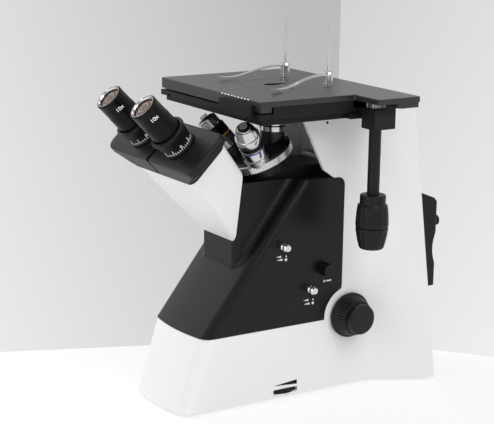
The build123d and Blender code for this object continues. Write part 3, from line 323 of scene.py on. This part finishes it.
glassCoat = {"weight": 0.8, "rough": 0.04, "roughDrift": 0.03}
clearLook = {
    "colour": rgb(0.75, 0.80, 0.82), "shade": rgb(0.70, 0.76, 0.80),
    "haze": 120.0, "rough": 0.04, "clear": 0.6,
}
eyeLensLook = {
    "colour": rgb(0.05, 0.022, 0.014), "shade": rgb(0.09, 0.045, 0.03),
    "haze": 90.0, "rough": 0.08, "clear": 0.0,
}
# the brighter brown rings drawn on the eyepiece lens are painted reflections of light off the lens's inner
# surfaces
lensReflectionLook = {
    "colour": rgb(0.24, 0.13, 0.09), "shade": rgb(0.32, 0.19, 0.14),
    "haze": 90.0, "rough": 0.10, "clear": 0.0,
}
finishes = {
    "white_paint": enamel("whiteEnamel", whiteLook),
    "black_gloss": enamel("blackEnamel", glossLook),
    "black_satin": enamel("blackAnodised", satinLook),
    "black_knob": enamel("blackKnob", knobLook),
    "stage_grey": enamel("stageCoat", stageLook, stageMarks),
    "insert_grey": enamel("insertCoat", stageLook),
    "stage_dark": enamel("stageEdge", darkLook),
    "chrome": metal("chrome", chromeLook),
    "objective_silver": metal("objectiveBarrel", barrelLook),
    "steel": metal("groundSteel", steelLook),
    "brass": metal("bushBrass", brassLook),
    "inner_black": enamel("innerBlack", darkLook),
    "rubber": enamel("footRubber", knobLook),
    "supply": metal("supplyCase", steelLook),
    "ceramic": enamel("socketCeramic", whiteLook),
    "mirror": metal("mirrorFace", chromeLook),
    "glass": coatedGlass("opticalGlass", clearLook),
}
special = {"nosepiece_turret": turretFinish("turretFinish", turretLook)}
eyeBlack = enamel("eyepieceBlack", barrelBlackLook)
eyeGlass = coatedGlass("eyeLens", eyeLensLook)
lensReflection = coatedGlass("eyeLensReflection", lensReflectionLook)
focusGrip = enamel("focusGrip", focusGripLook)
blueLine = metal("blueLine", blueLook)
orangeLine = metal("orangeLine", orangeLook)
whiteInk = metal("whiteInk", paintLook)
slotOf = {entry["node"]: entry["material_slot"] for entry in frame["record"]["subparts"]}
for name, node in nodes.items():
    node.data.materials.clear()
    node.data.materials.append(special.get(name, finishes[slotOf[name]]))
print("finishes on", len(slotOf), "nodes")


# profiles, outlines and marks are in millimetres, and the weld reach and ink depths in metres
mmPerMetre = 1000
weldReach = 0.000002
smoothAngle = {"usual": 32.0, "knob": 45.0, "lens": 60.0}
inkDepth = {"half": 0.00002, "lift": 0.00003}


def deselectAll():
    if bpy.context.mode != "OBJECT":
        bpy.ops.object.mode_set(mode="OBJECT")
    bpy.ops.object.select_all(action="DESELECT")


# profile in millimetres, as radius and height, spun round the Z axis
def lathe(name, profile, steps):
    deselectAll()
    bpy.ops.mesh.primitive_circle_add(vertices=len(profile), fill_type="NOTHING")
    made = bpy.context.object
    made.name = name
    for vertex, (radius, height) in zip(made.data.vertices, profile):
        vertex.co = (radius / mmPerMetre, 0, height / mmPerMetre)
    bpy.ops.object.mode_set(mode="EDIT")
    bpy.ops.mesh.select_all(action="SELECT")
    bpy.ops.mesh.spin(steps=steps, angle=2 * math.pi, center=(0, 0, 0), axis=(0, 0, 1))
    bpy.ops.mesh.select_all(action="SELECT")
    bpy.ops.mesh.remove_doubles(threshold=weldReach)
    bpy.ops.mesh.normals_make_consistent(inside=False)
    bpy.ops.object.mode_set(mode="OBJECT")
    return made


# every so many columns of a turned piece are drawn in towards the axis
def flute(made, look):
    mesh = made.data
    mesh.polygons.foreach_set("select", [False] * len(mesh.polygons))
    mesh.edges.foreach_set("select", [False] * len(mesh.edges))
    for vertex in mesh.vertices:
        x, y, z = vertex.co
        turn = math.atan2(y, x) / (2 * math.pi) * look["count"]
        column = abs(turn - math.floor(turn) - 0.5) < look["share"] / 2
        outer = math.hypot(x, y) * mmPerMetre > look["inside"]
        vertex.select = column and outer and look["low"] <= z * mmPerMetre <= look["high"]
    bpy.ops.object.mode_set(mode="EDIT")
    bpy.ops.mesh.select_mode(type="VERT")
    factor = look["factor"]
    bpy.ops.transform.resize(value=(factor, factor, 1), center_override=(0, 0, 0))
    bpy.ops.object.mode_set(mode="OBJECT")


def settle(made, matrix, body, finish, smooth=smoothAngle["usual"]):
    made.matrix_world = matrix
    deselectAll()
    made.select_set(True)
    bpy.context.view_layer.objects.active = made
    bpy.ops.object.transform_apply(location=True, rotation=True, scale=True)
    bpy.ops.object.shade_smooth_by_angle(angle=math.radians(smooth))
    for one in finish if isinstance(finish, list) else [finish]:
        made.data.materials.append(one)
    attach(made, body)
    return made


def heightOf(face):
    return face.center.z * mmPerMetre


def reachOf(face):
    return math.hypot(face.center.x, face.center.y) * mmPerMetre


# each face of a turned piece takes the finish of the band that its middle lies in, by height or by reach
def band(made, edges, measure):
    for face in made.data.polygons:
        value = measure(face)
        for edge, index in edges:
            if value < edge:
                face.material_index = index
                break


# a figure or word wrapped on a cylinder
def wrappedText(name, look):
    deselectAll()
    bpy.ops.object.text_add()
    made = bpy.context.object
    made.name = name
    made.data.body = look["words"]
    made.data.size = look["size"] / mmPerMetre
    made.data.align_x = "CENTER"
    made.data.extrude = inkDepth["half"]
    made.data.offset = look["bold"] / mmPerMetre
    bpy.ops.object.convert(target="MESH")
    made = bpy.context.object
    reach = look["radius"] / mmPerMetre
    for vertex in made.data.vertices:
        turn = look["turn"] + vertex.co.x / reach
        out = reach + inkDepth["lift"] + vertex.co.z
        vertex.co = (out * math.cos(turn), out * math.sin(turn), look["height"] / mmPerMetre + vertex.co.y)
    return made


headLean = math.radians(45)
headFrame = Matrix.Rotation(headLean, 4, "X")
eyepieceLook = {
    "profile": [
        (9.6, 287.3), (13.9, 287.3), (14.2, 287.7), (14.1, 305.9), (14.0, 306.4), (13.9, 306.6),
        (13.85, 308.0), (13.75, 321.4), (13.85, 321.8), (13.85, 323.8), (13.5, 324.3), (12.9, 324.8),
        (12.3, 324.95), (11.9, 324.6), (11.6, 323.0), (9.6, 323.0),
    ],
    "rim": [
        (10.3, 321.6), (11.5, 321.6), (11.7, 323.0), (12.0, 324.5), (12.45, 324.97), (12.1, 325.05),
        (11.6, 324.7), (11.2, 323.4), (10.4, 322.5),
    ],
    "lens": [
        (0, 320.6), (10.4, 320.6), (10.4, 321.9), (9.3, 322.3), (8.2, 322.2), (7.0, 322.6),
        (5.6, 323.0), (4.4, 323.2), (3.0, 323.4), (0, 323.5),
    ],
    # bands by reach on the eye lens: finish 1 is the painted reflection rings
    "lensReflectionBands": [(4.0, 0), (6.2, 1), (8.0, 0), (9.4, 1), (20, 0)],
    "word": {
        "words": "10x", "size": 5.6, "radius": 13.88, "height": 312.6, "turn": math.radians(-14), "bold": 0.12,
    },
    "steps": 96,
}
dioptreLook = {
    "profile": [
        (13.6, 269.6), (15.3, 269.6), (15.9, 270.0), (16.1, 270.8), (15.9, 271.6), (15.3, 272.0),
        (15.2, 272.4), (15.25, 278.2), (15.55, 278.8), (16.55, 284.6), (16.75, 285.2), (16.8, 286.6),
        (17.6, 287.0), (17.95, 287.5), (17.95, 289.4), (17.6, 290.0), (15.4, 290.1), (15.05, 289.8),
        (15.0, 283.6), (13.6, 283.6),
    ],
    "steps": 192,
    "milling": {"count": 96, "share": 0.5, "inside": 15.0, "low": 278.7, "high": 284.7, "factor": 0.986},
    "figures": [("2", -85.5), ("1", -49.5), ("0", -13.5), ("3", 22.5)],
    "figure": {"size": 4.2, "radius": 15.28, "height": 275.0, "bold": 0.12},
}
for side, apart in eyeApart.items():
    eyeFrame = headFrame @ Matrix.Translation((apart, eyeDeep, 0))
    body = "eyepiece_" + side
    barrel = lathe("eyepieceBarrel_" + side, eyepieceLook["profile"], eyepieceLook["steps"])
    settle(barrel, eyeFrame, body, eyeBlack)
    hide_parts(body)
    rim = lathe("eyepieceRim_" + side, eyepieceLook["rim"], eyepieceLook["steps"])
    settle(rim, eyeFrame, body, finishes["chrome"])
    lens = lathe("eyepieceLens_" + side, eyepieceLook["lens"], eyepieceLook["steps"])
    # the lens faces take the dark glass or the painted reflection rings, by reach
    band(lens, eyepieceLook["lensReflectionBands"], reachOf)
    settle(lens, eyeFrame, body, [eyeGlass, lensReflection], smoothAngle["lens"])
    word = wrappedText("eyepieceWord_" + side, eyepieceLook["word"])
    settle(word, eyeFrame, body, whiteInk)
    ring = lathe("dioptreRing_" + side, dioptreLook["profile"], dioptreLook["steps"])
    flute(ring, dioptreLook["milling"])
    ringFinish = enamel("dioptreBlack_" + side, knobLook, dioptreMarks(side))
    settle(ring, eyeFrame, "diopter_" + side, ringFinish)
    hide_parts("diopter_ring_" + side)
    for words, turn in dioptreLook["figures"]:
        look = dict(dioptreLook["figure"], words=words, turn=math.radians(turn))
        figure = wrappedText("dioptreFigure_" + side + words, look)
        settle(figure, eyeFrame, "diopter_" + side, whiteInk)
print("eyepieces and dioptre rings made")

# objectives, measured from their shoulders on the turret
turretFrame = Matrix.Translation((0, 0, turretLook["apex"])) @ Matrix.Rotation(turretLook["tilt"], 4, "X")
seatHeight = 0.065
objectiveSteps = 80
objectiveLooks = {
    "objective_low": {
        "turn": 0.0,
        "profile": [
            (5.0, 0), (11.8, 0), (12.0, 0.3), (12.0, 4.8), (11.3, 5.1), (11.3, 6.0), (12.0, 6.2),
            (12.0, 20.6), (11.4, 21.6), (10.3, 22.8), (10.2, 28.6), (9.6, 29.6), (7.6, 33.6), (7.5, 36.8),
            (6.9, 38.3), (6.0, 39.5), (4.0, 39.5), (4.0, 37.4), (5.0, 34.5),
        ],
        "bands": [(5.05, 0), (6.1, 1), (36.9, 0), (60, 1)],
        "line": "black",
    },
    "objective_high": {
        "turn": 120.0,
        "profile": [
            (5.0, 0), (11.4, 0), (11.6, 0.3), (11.1, 9.4), (11.05, 9.6), (11.05, 11.0), (11.6, 11.2),
            (11.75, 11.5), (11.75, 12.7), (11.3, 13.0), (11.25, 18.4), (11.85, 18.7), (12.0, 19.2),
            (12.0, 26.6), (11.7, 27.4), (10.9, 27.8), (10.7, 28.6), (9.6, 33.4), (8.6, 36.2), (7.9, 37.4),
            (7.2, 37.7), (6.9, 38.5), (6.1, 38.8), (5.7, 39.8), (5.0, 40.3), (4.3, 40.4), (4.0, 40.0),
            (4.0, 38.4), (5.0, 36),
        ],
        "bands": [(9.5, 0), (11.1, 2), (12.85, 0), (18.5, 1), (37.3, 0), (38.0, 1), (38.65, 0), (60, 1)],
        "line": "blue",
    },
    "objective_middle": {
        "turn": 240.0,
        "profile": [
            (5.0, 0), (11.8, 0), (12.0, 0.3), (12.0, 11.6), (11.6, 12.0), (11.3, 12.2), (11.3, 13.2),
            (11.5, 13.6), (11.6, 14.2), (11.6, 24.0), (11.2, 24.6), (10.4, 25.0), (10.3, 33.4), (9.9, 34.4),
            (9.0, 35.0), (7.6, 35.1), (7.2, 35.6), (6.4, 36.0), (4.0, 36.0), (4.0, 35.2), (5.0, 34.0),
        ],
        "bands": [(12.1, 0), (13.4, 2), (24.8, 1), (34.98, 0), (60, 1)],
        "line": "orange",
        "milling": {"count": 40, "share": 0.5, "inside": 11.0, "low": 14.1, "high": 24.1, "factor": 0.975},
    },
}
lines = {"black": finishes["black_knob"], "blue": blueLine, "orange": orangeLine}
for name, look in objectiveLooks.items():
    barrel = lathe(name + "Barrel", look["profile"], objectiveSteps)
    band(barrel, look["bands"], heightOf)
    if "milling" in look:
        flute(barrel, look["milling"])
    station = Matrix.Rotation(math.radians(-look["turn"]), 4, "Z")
    lean = station @ Matrix.Rotation(-turretLook["tilt"], 4, "X")
    seat = turretFrame @ lean @ Matrix.Translation((0, 0, seatHeight))
    coats = [finishes["objective_silver"], eyeBlack, lines[look["line"]]]
    settle(barrel, seat, "turret", coats)
    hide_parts(name)
print("objectives made")

# focus knobs on both sides
focusLook = {
    "coarse": [
        (6.1, 50), (22.1, 50), (22.5, 50.4), (22.5, 52.8), (22.1, 53.3), (20.7, 53.5), (20.45, 54.0),
        (20.2, 55.0), (17.3, 64.6), (17.0, 65.2), (16.4, 65.5), (6.1, 65.5),
    ],
    "ribs": {"count": 36, "share": 0.5, "inside": 15.0, "low": 54.9, "high": 64.7, "factor": 0.962},
    "fine": [
        (0, 65.8), (14.5, 65.8), (15.1, 66.2), (15.2, 67.0), (15.2, 70.4), (14.9, 71.4), (14.1, 72.1),
        (12.9, 72.3), (2.4, 72.25), (1.9, 71.9), (1.5, 71.3), (0, 71.2),
    ],
    "axis": (0, 0.061, 0.075),
    "coarseSteps": 144,
    "fineSteps": 96,
}
for side, turn in (("right", 90), ("left", -90)):
    across = Matrix.Translation(focusLook["axis"]) @ Matrix.Rotation(math.radians(turn), 4, "Y")
    coarse = lathe("coarseGrip_" + side, focusLook["coarse"], focusLook["coarseSteps"])
    flute(coarse, focusLook["ribs"])
    settle(coarse, across, "coarse_drive", focusGrip)
    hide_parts("coarse_knob_" + side)
    fine = lathe("fineGrip_" + side, focusLook["fine"], focusLook["fineSteps"])
    settle(fine, across, "fine_drive", focusGrip)
    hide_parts("fine_knob_" + side)

# coaxial stage knobs
driveLook = {
    "upper": [
        (6.0, 178.4), (14.6, 177.8), (15.3, 178.2), (15.6, 179.2), (15.6, 182.0), (15.5, 186.0), (15.2, 190.0),
        (14.8, 194.0), (14.3, 197.4), (13.9, 199.0), (13.2, 199.5), (12.5, 199.9), (12.3, 200.6),
        (12.2, 207.8), (11.8, 208.6), (11.2, 208.8), (6.0, 208.8),
    ],
    "lower": [
        (0, 156.5), (8.0, 156.5), (10.6, 156.9), (11.6, 157.8), (12.1, 159.2), (12.9, 162.0), (13.6, 165.0),
        (14.3, 168.5), (14.9, 172.0), (15.3, 175.0), (15.5, 176.4), (15.2, 177.3), (14.6, 177.5),
        (4.1, 177.5), (4.1, 170), (0, 170),
    ],
    "upperFlutes": {"count": 12, "share": 0.3, "inside": 13.0, "low": 181.9, "high": 194.1, "factor": 0.935},
    "lowerFlutes": {"count": 12, "share": 0.3, "inside": 11.0, "low": 161.9, "high": 172.1, "factor": 0.94},
    "axis": (0.103, 0.0446, 0),
    "steps": 96,
}
driveFrame = Matrix.Translation(driveLook["axis"])
upper = lathe("yDriveGrip", driveLook["upper"], driveLook["steps"])
flute(upper, driveLook["upperFlutes"])
settle(upper, driveFrame, "y_drive", finishes["black_knob"], smoothAngle["knob"])
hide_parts("y_drive_knob")
lower = lathe("xDriveGrip", driveLook["lower"], driveLook["steps"])
flute(lower, driveLook["lowerFlutes"])
settle(lower, driveFrame, "x_drive", finishes["black_knob"], smoothAngle["knob"])
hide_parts("x_drive_knob")
print("knobs made")

# rims of the eyepiece housings: outline levels as height, inner and outer reach, corner, draw-in
housingLook = {
    "front": 70.97, "back": 119.53, "arc": 8, "lift": 0.5,
    "levels": [
        (250.0, 50.0, 58.2, 7.0, 0.0), (262.0, 50.0, 79.4, 8.6, 0.0),
        (262.3, 1.8, 79.7, 8.8, 0.0), (263.0, 1.75, 80.0, 9.0, 0.0),
        (266.9, 1.75, 80.0, 9.0, 0.0), (268.1, 1.9, 79.7, 8.8, 0.35),
        (269.0, 2.3, 78.8, 8.2, 1.2), (269.35, 3.0, 77.4, 7.4, 2.4),
    ],
}
# flat dark discs, barely raised, on the housing tops in a blacker finish: painted shade standing in for small
# holes
holeShadeLook = {
    "profile": [(0, 269.3), (1.3, 269.3), (1.3, 269.39), (0.9, 269.4), (0, 269.37)],
    "spots": {"right": [(56.3, 107.4), (57.2, 80.4)], "left": [(-48.9, 82.5), (-56.3, 107.4)]},
    "steps": 16,
}


def housingOutline(level):
    height, inner, outer, corner, drawn = level
    front = housingLook["front"] + drawn
    back = housingLook["back"] - drawn
    points = [(inner, front)]
    for start, across in ((-90, front + corner), (0, back - corner)):
        for step in range(housingLook["arc"] + 1):
            turn = math.radians(start + 90 * step / housingLook["arc"])
            points.append((outer - corner + corner * math.cos(turn), across + corner * math.sin(turn)))
    points.append((inner, back))
    return [Vector((x / mmPerMetre, v / mmPerMetre, height / mmPerMetre)) for x, v in points]


def housingRim(name):
    outline = housingOutline(housingLook["levels"][0])
    deselectAll()
    bpy.ops.mesh.primitive_circle_add(vertices=len(outline), fill_type="NGON")
    made = bpy.context.object
    made.name = name
    for vertex, place in zip(made.data.vertices, outline):
        vertex.co = place
    for level in housingLook["levels"][1:]:
        lift = Vector((0, 0, housingLook["lift"]))
        bpy.ops.object.mode_set(mode="EDIT")
        bpy.ops.mesh.extrude_region_move(TRANSFORM_OT_translate={"value": lift})
        bpy.ops.object.mode_set(mode="OBJECT")
        raised = [vertex for vertex in made.data.vertices if vertex.select]
        following = housingOutline(level)
        for vertex in raised:
            spans = [(vertex.co - lift - place).length for place in outline]
            vertex.co = following[spans.index(min(spans))]
        outline = following
    return made


for side, across in (("right", 1), ("left", -1)):
    rim = housingRim("housingRim_" + side)
    mirrored = headFrame @ Matrix.Diagonal((across, 1, 1, 1))
    settle(rim, mirrored, "housing_" + side, finishes["black_satin"])
    bpy.ops.object.mode_set(mode="EDIT")
    bpy.ops.mesh.select_all(action="SELECT")
    bpy.ops.mesh.normals_make_consistent(inside=False)
    bpy.ops.object.mode_set(mode="OBJECT")
    for spot, (x, v) in enumerate(holeShadeLook["spots"][side]):
        holeShadeDisc = lathe("housingHoleShade_" + side + str(spot), holeShadeLook["profile"], holeShadeLook["steps"])
        place = headFrame @ Matrix.Translation((x / mmPerMetre, v / mmPerMetre, 0))
        settle(holeShadeDisc, place, "housing_" + side, eyeBlack)

# the seam round the stage insert
seamLook = {
    "profile": [(32.5, 301.98), (32.5, 302.03), (33.2, 302.03), (33.2, 301.98)],
    "steps": 128,
}
seam = lathe("insertSeam", seamLook["profile"], seamLook["steps"])
settle(seam, Matrix.Identity(4), "stage_x", eyeBlack)
print("housing rims and insert seam made")


# the side wall that the painted figures lie on, and their thickness
wallLook = {"x": 48.0, "thick": 0.12}


# a flat painted figure on the side wall, its corners as y and z
def mark(name, look):
    deselectAll()
    bpy.ops.mesh.primitive_circle_add(vertices=len(look["corners"]), fill_type="NGON")
    made = bpy.context.object
    made.name = name
    for vertex, (y, z) in zip(made.data.vertices, look["corners"]):
        vertex.co = (wallLook["x"] / mmPerMetre, y / mmPerMetre, z / mmPerMetre)
    bpy.ops.object.mode_set(mode="EDIT")
    bpy.ops.mesh.select_all(action="SELECT")
    raised = (wallLook["thick"] / mmPerMetre, 0, 0)
    bpy.ops.mesh.extrude_region_move(TRANSFORM_OT_translate={"value": raised})
    bpy.ops.mesh.select_all(action="SELECT")
    bpy.ops.mesh.normals_make_consistent(inside=False)
    bpy.ops.object.mode_set(mode="OBJECT")
    return made


def roundCorners(y, z, radius, count):
    turns = [2 * math.pi * step / count for step in range(count)]
    return [(y + radius * math.cos(turn), z + radius * math.sin(turn)) for turn in turns]


markLooks = {
    "apertureArrow": {"corners": [(-26.0, 144.0), (-20.4, 142.9), (-20.4, 145.1)], "ink": "white"},
    "apertureWedge": {"corners": [(-25.6, 140.9), (-18.8, 139.8), (-18.8, 142.0)], "ink": "white"},
    "apertureSmall": {"corners": roundCorners(-14.6, 143.8, 0.8, 14), "ink": "white"},
    "apertureLarge": {"corners": roundCorners(-14.8, 140.4, 1.4, 16), "ink": "white"},
    "fieldArrow": {"corners": [(6.9, 96.4), (12.5, 95.3), (12.5, 97.5)], "ink": "white"},
    "fieldWedge": {"corners": [(7.2, 92.6), (14.0, 91.5), (14.0, 93.7)], "ink": "white"},
    "fieldSmall": {"corners": roundCorners(18.1, 96.2, 0.8, 14), "ink": "white"},
    "fieldLarge": {"corners": roundCorners(17.9, 92.6, 1.4, 16), "ink": "white"},
    "filterDisc": {"corners": roundCorners(31.0, 112.9, 1.2, 16), "ink": "white"},
    "filterBar": {"corners": [(33.4, 112.1), (39.4, 112.1), (39.4, 113.7), (33.4, 113.7)], "ink": "white"},
    "brightnessWedge": {"corners": [(-26.2, 14.8), (1.4, 12.8), (1.2, 17.2)], "ink": "black"},
    "columnScrew": {"corners": roundCorners(29.4, 269.5, 1.3, 16), "ink": "black"},
}
inks = {"white": ("black_gloss", whiteInk), "black": ("white_paint", eyeBlack)}
for name, look in markLooks.items():
    slotName, ink = inks[look["ink"]]
    settle(mark(name, look), Matrix.Identity(4), "stand", ink)
print("painted marks made")


# a shade that the camera, metal and glass see at its own brightness,
# while light falls on it as on any surface; its colour runs from the dark to the light tone across it, as
# painted shade
def roomShade(name, look):
    finish = Finish(name)
    x, y, z = finish.axes()
    paintedShadeFactor = look["start"] + look["alongX"] * x + look["alongY"] * y + look["up"] * z
    colour = finish.mixColour(paintedShadeFactor, look["dark"], look["light"])
    path = finish.node("LightPath")
    mirrored = finish.wire(path, "Is Glossy Ray") + finish.wire(path, "Is Transmission Ray")
    seen = finish.wire(path, "Is Camera Ray") + mirrored
    finish.set(Base_Color=colour, Roughness=roomRough, Specular_IOR_Level=0.0)
    glow = finish.node("Emission", None, Color=colour, Strength=1.0)
    lit = finish.node("MixShader", None, i0=seen * look["held"])
    clear = finish.node("BsdfTransparent")
    behind = finish.wire(finish.node("NewGeometry"), "Backfacing")
    faced = finish.node("MixShader", None, i0=behind)
    links = finish.tree.links
    links.new(finish.shader.outputs[0], lit.inputs[1])
    links.new(glow.outputs[0], lit.inputs[2])
    links.new(lit.outputs[0], faced.inputs[1])
    links.new(clear.outputs[0], faced.inputs[2])
    links.new(faced.outputs[0], finish.tree.nodes["Material Output"].inputs["Surface"])
    return finish.material


roomRough = 0.9
floorLook = {
    "dark": rgb(1.0, 1.0, 1.0), "light": rgb(1.0, 1.0, 1.0), "held": 0.75, "size": 6.0,
    "start": 0.0, "alongX": 0.0, "alongY": 0.0, "up": 0.0,
}
# the walls' tone is painted shade: darker towards the corner where they meet, and darker higher up
wallLooks = {
    "leftWall": {
        "start": 0.425, "alongX": 0.0, "alongY": -2.03, "up": -0.665, "held": 1.0, "height": 1.6,
        "from": (-0.622, -1.200), "to": (-0.0874, 0.1404),
        "dark": rgb(0.5, 0.5, 0.5), "light": rgb(0.9, 0.9, 0.9),
    },
    "rightWall": {
        "start": 0.815, "alongX": 1.8075, "alongY": 0.0, "up": -0.7875, "held": 1.0, "height": 1.6,
        "from": (-0.0874, 0.1404), "to": (0.768, 0.807),
        "dark": rgb(0.5, 0.5, 0.5), "light": rgb(0.9, 0.9, 0.9),
    },
}
deselectAll()
bpy.ops.mesh.primitive_plane_add(size=floorLook["size"])
floor = bpy.context.object
floor.name = "floor"
floor.data.materials.append(roomShade("floorShade", floorLook))
for name, look in wallLooks.items():
    deselectAll()
    bpy.ops.mesh.primitive_plane_add(size=1)
    made = bpy.context.object
    made.name = name
    start, end, high = look["from"], look["to"], look["height"]
    corners = ((start, 0), (end, 0), (start, high), (end, high))
    for vertex, (place, height) in zip(made.data.vertices, corners):
        vertex.co = (place[0], place[1], height)
    made.data.materials.append(roomShade(name + "Shade", look))
    made.visible_shadow = False
    made.visible_diffuse = False


def lamp(name, look):
    data = bpy.data.lights.new(name, "AREA")
    data.energy = look["power"]
    data.size = look["size"]
    made = bpy.data.objects.new(name, data)
    scene.collection.objects.link(made)
    made.location = look["place"]
    aim = Vector(look["aim"]) - Vector(look["place"])
    made.rotation_euler = aim.to_track_quat("-Z", "Y").to_euler()


lampLooks = {
    "leftBox": {"power": 15.0, "size": 0.75, "place": (-1.35, -0.60, 1.0), "aim": (0, 0, 0.15)},
    "frontKey": {"power": 5.0, "size": 1.0, "place": (0.3, -1.8, 0.8), "aim": (0, 0, 0.12)},
    "sideFill": {"power": 22.0, "size": 1.4, "place": (1.5, 0.0, 1.6), "aim": (0, 0, 0.12)},
}
for name, look in lampLooks.items():
    lamp(name, look)
skyLook = {"Color": rgb(1.0, 1.0, 1.0), "Strength": 0.45}
sky = bpy.data.worlds.new("studio")
scene.world = sky
sky.use_nodes = True
for key, value in skyLook.items():
    sky.node_tree.nodes["Background"].inputs[key].default_value = value
print("room and lamps set")
